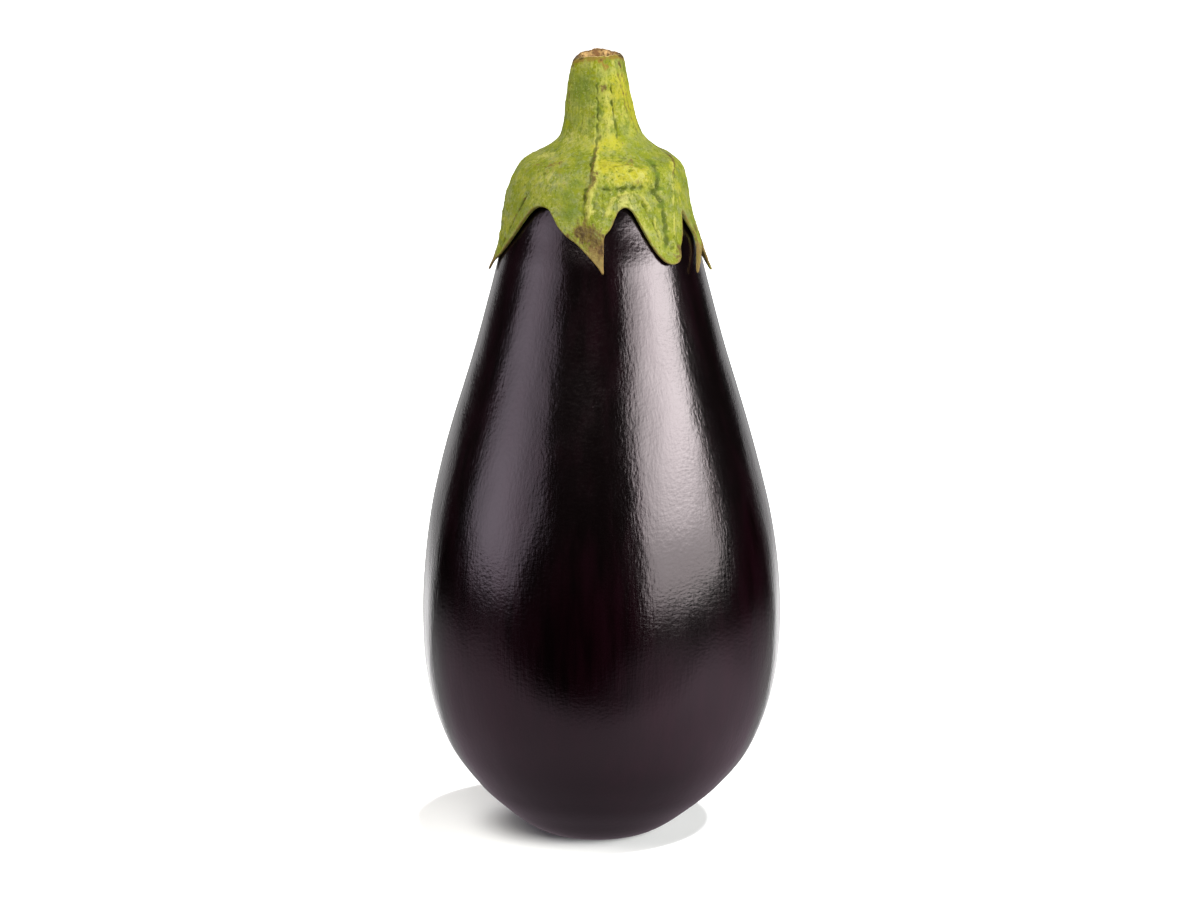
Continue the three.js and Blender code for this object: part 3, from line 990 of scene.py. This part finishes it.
hem_radii = cap_outline.radius(hem_heights) + hem_stand_offs
hem_spots = kdtree.KDTree(len(hem_line))
for number, spot in enumerate(place(hem_angles, hem_radii, hem_heights)):
    hem_spots.insert(spot, number)
hem_spots.balance()
unbent = place(column_angle, radius, height)
to_edge = np.array([hem_spots.find(Vector(point))[2] for point in unbent]) / MM
colour_layers(calyx_mesh, calyx_spots, groove_and_shade, ridge_and_highlight, folds_and_painted_light, to_edge, 0 * to_edge)
print("calyx relief from", round(lift.min(), 2), "to", round(lift.max(), 2), "mm")

# %% [markdown]
# The green is matt and leathery: mottled from deep green to yellow, with highlights painted on ridges
# and crests and shade painted in folds and grooves, brown at the torn-off edge and in the scars, with a
# fine pitted grain that breaks up the light. Its colour is built like a painting, one thin tint over
# another, and each tint has a mask that says where it lies.


# %% Tints
def layer(tree, name):
    """A number that was kept with the mesh for each of its points."""
    return tree.node("Attribute", {"attribute_name": name}, {}, "Fac")


def lay_tints(colour, tints):
    """Lays tints over a colour in turn: a mask, where it starts and is full, a strength and a colour."""
    for mask, low, high, strength, tint in tints:
        colour = blend(rise(mask, low, high) * strength, colour, (*tint, 1))
    return colour


# %% Green cap
GREENS = ((0.160, 0.200, 0.018, 1), (0.285, 0.300, 0.048, 1))
NECK = (0.179, 0.187)  # heights in metres between which the cap turns into the stem
LEAF_BUMPS = 0.0006


def green_finish():
    green, tree, here = new_finish("leathery green")
    mottle = speckle(here, 0.0040, 3)
    bloom = speckle(here, 0.0022, 4, (0.8, 0.8, 1), 0.65)
    grain = speckle(here, 0.0011, 4, (1, 1, 0.6), 0.65)
    pits = speckle(here, 0.0005, 3, (1, 1, 0.8), 0.6)
    fibres = speckle(here, 0.0008, 4, (1, 1, 0.08), 0.6)
    specks = speckle(here, 0.0015, 3, (1, 1, 1.6), 0.6)
    on_stem = rise(along_axis(here, "Z"), *NECK)
    uneven = (mottle - 0.5) * 0.6 + (grain - 0.5) * 1.1 + (pits - 0.5) * 0.7
    base = mottle * 0.35 + grain * 0.40 + pits * 0.25
    colour = lay_tints(blend(rise(base, 0.42, 0.58), *GREENS), [
        (fibres + (mottle - 0.5) * 0.4, 0.5, 0.66, 0.3 + 0.4 * on_stem, (0.37, 0.385, 0.06)),
        (fibres + (mottle - 0.5) * 0.3, 0.47, 0.32, 0.2 + 0.5 * on_stem, (0.11, 0.15, 0.01)),
        (bloom + (pits - 0.5) * 0.5, 0.5, 0.64, 0.55 - 0.35 * on_stem, (0.225, 0.245, 0.11)),
        (bloom + (pits - 0.5) * 0.5, 0.5, 0.36, 0.6 + 0.3 * on_stem, (0.225, 0.25, 0.004)),
        # The yellow, deep and pale tints carry painted light, painted shade and painted highlights too.
        (layer(tree, "yellow_and_painted_light") + uneven, 0.25, 0.85, 0.8, (0.42, 0.385, 0.022)),
        (layer(tree, "deep") + uneven, 0.3, 0.8, 0.8, (0.095, 0.148, 0.012)),
        (layer(tree, "pale_and_painted_highlight") + uneven, 0.35, 0.85, 0.8, (0.45, 0.43, 0.125)),
        # Painted light from the relief: highlights on ridges and crests, shade in creases and grooves.
        (layer(tree, "ridge_and_highlight") + uneven * 0.4, 0.12, 0.45, 0.7, (0.43, 0.41, 0.085)),
        (layer(tree, "folds_and_painted_light") + uneven * 0.4, 0.3, 0.75, 0.6, (0.44, 0.43, 0.11)),
        (layer(tree, "folds_and_painted_light") + uneven * 0.4, -0.1, -0.45, 0.7, (0.09, 0.11, 0.008)),
        (layer(tree, "groove_and_shade") + uneven * 0.2, 0.1, 0.34, 0.8, (0.06, 0.08, 0.008)),
        (pits + (grain - 0.5) * 0.5, 0.4, 0.28, 0.65, (0.08, 0.1, 0.008)),
        (pits + (grain - 0.5) * 0.5, 0.6, 0.72, 0.5, (0.4, 0.39, 0.13)),
        (layer(tree, "dry") + uneven * 0.8, 0.25, 0.75, 0.85, (0.24, 0.165, 0.06)),
        (specks, 0.66, 0.74, 0.5, (0.15, 0.09, 0.022)),
        (layer(tree, "dry") + (fibres - 0.5) * 3, 0.9, 1.5, 0.55, (0.12, 0.075, 0.028)),
        (layer(tree, "scab") + uneven, 0.3, 0.75, 0.85, (0.26, 0.135, 0.022)),
        (layer(tree, "brown") + uneven * 1.6, 0.3, 0.85, 0.8, (0.125, 0.068, 0.024)),
        (layer(tree, "brown") + uneven * 2.2, 0.85, 1.35, 0.75, (0.045, 0.026, 0.014)),
        (layer(tree, "to_edge") + uneven * 1.2, 0.6, 0.15, 0.75, (0.24, 0.155, 0.05)),
        (layer(tree, "scorch") + uneven * 0.9, 0.3, 0.8, 0.85, (0.22, 0.135, 0.022)),
        (layer(tree, "scorch") + uneven * 0.9, 0.95, 1.25, 0.9, (0.06, 0.035, 0.014)),
    ])
    height = grain * 0.5 + pits * 0.35 + fibres * 0.35
    shader = tree.node("BsdfPrincipled", {}, {
        "Base Color": colour,
        "Roughness": 0.55 + 0.2 * grain,
        "Normal": bumps(height, LEAF_BUMPS),
        "IOR": 1.4,
        "Specular IOR Level": 0.2,
    })
    tree.end(shader)
    return green


green = green_finish()
finish_piece(calyx_mesh, calyx_points, green, "calyx")

# %% [markdown]
# ## The stem
#
# The stem carries the cap's outline and its grooves on upwards to a rough cut. The cut has dried: its
# rim is dark and uneven, and the pith in the middle has shrunk into a hollow.

# %% Section of the stem
SIDE_ROWS = 80
CUT_ROWS = 26
STEM_TURNS = 320
CUT_RIM = [  # azimuth, height
    (-120, 203.6), (-90, 203), (-60, 203.4), (-38, 204), (-15, 204.2), (10, 204.3), (35, 204.4),
    (65, 204.2), (90, 204), (135, 204.2), (180, 204.7), (205, 204.4), (240, 203.6),
]
CUT_HOLLOW = [  # share of the cut's radius, depth
    (1, 0), (0.95, -0.15), (0.88, 0.1), (0.78, 0.35), (0.66, 1.3), (0.42, 2), (0, 2.1),
]

stem_walk = np.concatenate([[-1], np.linspace(0, 1, SIDE_ROWS), np.linspace(1, 2, CUT_ROWS)[1:]])
mean_rim = np.mean([height for _, height in CUT_RIM])
rim_radius = float(cap_outline.radius(mean_rim))
cut_share = np.array([share for share, _ in CUT_HOLLOW])
cut_depth = np.array([depth for _, depth in CUT_HOLLOW])


def stalk(walk, rim_height):
    """Radius and height on the stem's section. walk is 0 at the neck, 1 at the rim, 2 in mid-cut."""
    side_height = NECK_HEIGHT + np.clip(walk, 0, 1) * (rim_height - NECK_HEIGHT)
    share = 1 - np.clip(walk - 1, 0, 1)
    depth = np.interp(-share, -cut_share, cut_depth)
    radius = np.where(walk > 1, rim_radius * share, cap_outline.radius(side_height))
    cut_height = mean_rim + (rim_height - mean_rim) * share - depth
    return radius, np.where(walk > 1, cut_height, side_height)


plain_radius, plain_height = stalk(stem_walk, mean_rim)
plain_radius[0] = 0
stem_section = np.stack([plain_radius, plain_height], axis=-1)
stem_mesh = spin_section("stem_surface", stem_section, stem_walk, STEM_TURNS)
print("stem section", len(stem_section), "points")

# %% [markdown]
# The knife tore more than it cut, so the rim is jagged. Fine ribs run down the side, deepest on the
# right. The hollow is uneven too, and it is broken up with crumbs of dry pith.

# %% Stem surface
RIM_JAG = 0.30
RIB_DEPTH = 0.16
CRUMB_DEPTH = 0.30
RIM_INSET = 0.4  # the rim is rounded by this much
SEAM = -120  # azimuth where the list of the rim's heights starts

angle, radius, walk = read_points(stem_mesh)
on_axis = radius < ON_AXIS
rim_line = smooth_line(CUT_RIM)
rim_height = np.interp((np.degrees(angle) - SEAM) % 360 + SEAM, rim_line[:, 0], rim_line[:, 1])
around = np.stack([np.sin(angle), np.cos(angle), 0 * angle], axis=-1)
ring = around * MM * 6
rim_height = rim_height + RIM_JAG * lumps(ring, 1.5) + 0.6 * RIM_JAG * lumps(ring, 0.5)
radius, height = stalk(walk, rim_height)
radius[on_axis] = 0
stem_spots = place(angle, radius, height)
fine, groove_and_shade, ridge_and_highlight, folds_and_painted_light = fine_relief(stem_spots)
on_side = (walk >= -0.5) * soft_step(walk, 1.15, 1)
ribs = RIB_DEPTH * lumps(around * MM * 8 + stem_spots * (0, 0, 0.10), 0.9) * soft_step(walk, 0.0, 0.15)
ribs = ribs * (0.7 + 0.5 * np.sin(angle))
rim_in = RIM_INSET * soft_step(walk, 0.97, 1) * (walk <= 1)
rim_in = rim_in + RIM_INSET * (walk > 1) * soft_step(walk, 1.2, 1)
keels = keel_rise(angle, radius, 0) * on_side
crumbs = CRUMB_DEPTH * (lumps(stem_spots, 1.3) + 0.5 * lumps(stem_spots, 0.5))
crumbs = crumbs * soft_step(walk, 1.04, 1.2)
side = keels + (fine + swelling_rise(angle, radius, height) + ribs) * on_side
stem_points = place(angle, radius + side - rim_in, height + crumbs)

# %% [markdown]
# The top of the side is scorched by drying: an olive-brown band under the rim, nearly black at the two
# ends of the cut. Inside, highlights are painted on the walls of the hollow where pale fibres catch the
# light, and shade is painted into the pith between them.

# %% Layers of the stem
SCORCHED = [  # azimuth, height, reach, strength
    (-85, 203, 2.6, 0.8), (-100, 203, 2, 0.8), (80, 204, 1.6, 0.7), (100, 204, 2.5, 0.8),
    (150, 204.3, 2.5, 0.5), (-55, 202.2, 1.8, 0.5),
]
# Highlights painted on the walls of the hollow, where they face the light.
PAINTED_PITH_HIGHLIGHTS = [  # x, y, reach, strength
    (-3.4, 3.2, 1.5, 1), (-4.4, 0.6, 1.2, 0.6), (-0.2, 4.4, 0.5, 0.3), (1.7, 4.3, 0.8, 1.1),
    (3.4, 3.4, 0.6, 0.5),
]
# Shade painted into the bottom of the hollow and between its walls.
PAINTED_PITH_SHADE = [(-1.0, 3.9, 1.3, 0.9), (0.4, 1.0, 2.6, 1.0), (3.0, 3.6, 0.8, 0.6), (4.8, 1.2, 1.6, 0.6)]
CUT_MIDDLE = -0.5  # x of the point that the spots in the cut are measured from
AWAY = 9  # millimetres from the hem of the calyx, so that none of the stem is browned by it

below_rim = rim_height - height
ragged_cut = astray(stem_spots, 1.0, 0.6)
band = soft_step(below_rim, 2.0, 0.2) * (walk <= 1)
band = band * np.clip(0.95 + 0.8 * lumps(stem_spots, 1.1), 0, 1.2)
scorch = band * 0.8 + patches(ragged_cut, SCORCHED) * soft_step(below_rim, 2.4, 0.2)


def cut_patches(spots):
    """How strongly soft spots, in millimetres from about the cut's middle, cover the stem's points."""
    cover = np.zeros(len(stem_spots))
    for across, deep, reach, strength in spots:
        aside = ragged_cut[:, 0] / MM - CUT_MIDDLE - across
        gap = np.hypot(aside, ragged_cut[:, 1] / MM - deep) / reach
        cover = np.maximum(cover, strength * np.exp(-(gap**2)))
    return cover


# Painted highlights on the stem's ribs and painted shade between them join the ridge and groove masks.
ridge_and_rib_highlight = ridge_and_highlight + 2.2 * np.maximum(ribs, 0)
groove_and_rib_shade = groove_and_shade + 2.0 * np.maximum(-ribs, 0)
to_edge = np.full(len(angle), AWAY)
colour_layers(stem_mesh, stem_spots, groove_and_rib_shade, ridge_and_rib_highlight, folds_and_painted_light * on_side, to_edge, scorch)
keep(stem_mesh, "cut", np.clip(walk - 1, 0, 1))
keep(stem_mesh, "pith_highlights", cut_patches(PAINTED_PITH_HIGHLIGHTS))
keep(stem_mesh, "pith_shade", cut_patches(PAINTED_PITH_SHADE))
print("the rim of the cut is at", round(rim_height.min(), 1), "to", round(rim_height.max(), 1), "mm")

# %% [markdown]
# The cut has a finish of its own: tan fibres, with painted highlights at the walls of the hollow and
# painted shade between them, and a rim scorched by drying and painted pale in front and dark behind.
# Only the faces inside the rim wear it.


# %% Cut
PITH = ((0.100, 0.045, 0.010, 1), (0.390, 0.240, 0.080, 1))
PITH_BUMPS = 0.0004
CUT_HALF = 0.002  # metres over which the front half of the cut turns into the back half
INSIDE_RIM = 0.995  # faces of the stem from here inwards wear the finish of the cut


def cut_finish():
    cut, tree, here = new_finish("dried cut")
    fibres = speckle(here, 0.0006, 3, (1, 1, 0.5), 0.65)
    crumbs = speckle(here, 0.0012, 3)
    uneven = (fibres - 0.5) * 0.9 + (crumbs - 0.5) * 0.9
    depth = along_axis(here, "Y")
    painted_lit_front = rise(depth, CUT_HALF, 0)
    behind = rise(depth, 0, CUT_HALF)
    rim = layer(tree, "cut") + uneven * 0.12
    colour = lay_tints(blend(rise(fibres, 0.38, 0.62), *PITH), [
        (layer(tree, "pith_shade") + uneven, 0.1, 0.95, 0.9, (0.16, 0.062, 0.013)),
        (layer(tree, "pith_highlights") + uneven, 0.1, 0.95, 0.9, (0.64, 0.41, 0.165)),
        # Painted light on the rim of the cut: pale along its front half, dark along its back half.
        (rim, 0.16, 0.06, painted_lit_front * 0.9, (0.56, 0.44, 0.17)),
        (rim, 0.16, 0.06, behind * 0.8, (0.17, 0.09, 0.03)),
        (layer(tree, "scorch") + uneven * 0.8, 0.45, 0.8, 0.85, (0.05, 0.03, 0.012)),
    ])
    shader = tree.node("BsdfPrincipled", {}, {
        "Base Color": colour,
        "Roughness": 0.8,
        "Normal": bumps(fibres, PITH_BUMPS),
    })
    tree.end(shader)
    return cut


finish_piece(stem_mesh, stem_points, green, "stem")
stem_mesh.materials.append(cut_finish())
inside_rim = [face for face in stem_mesh.polygons if walk[list(face.vertices)].min() >= INSIDE_RIM]
for face in inside_rim:
    face.material_index = 1
print("faces of the cut:", len(inside_rim))
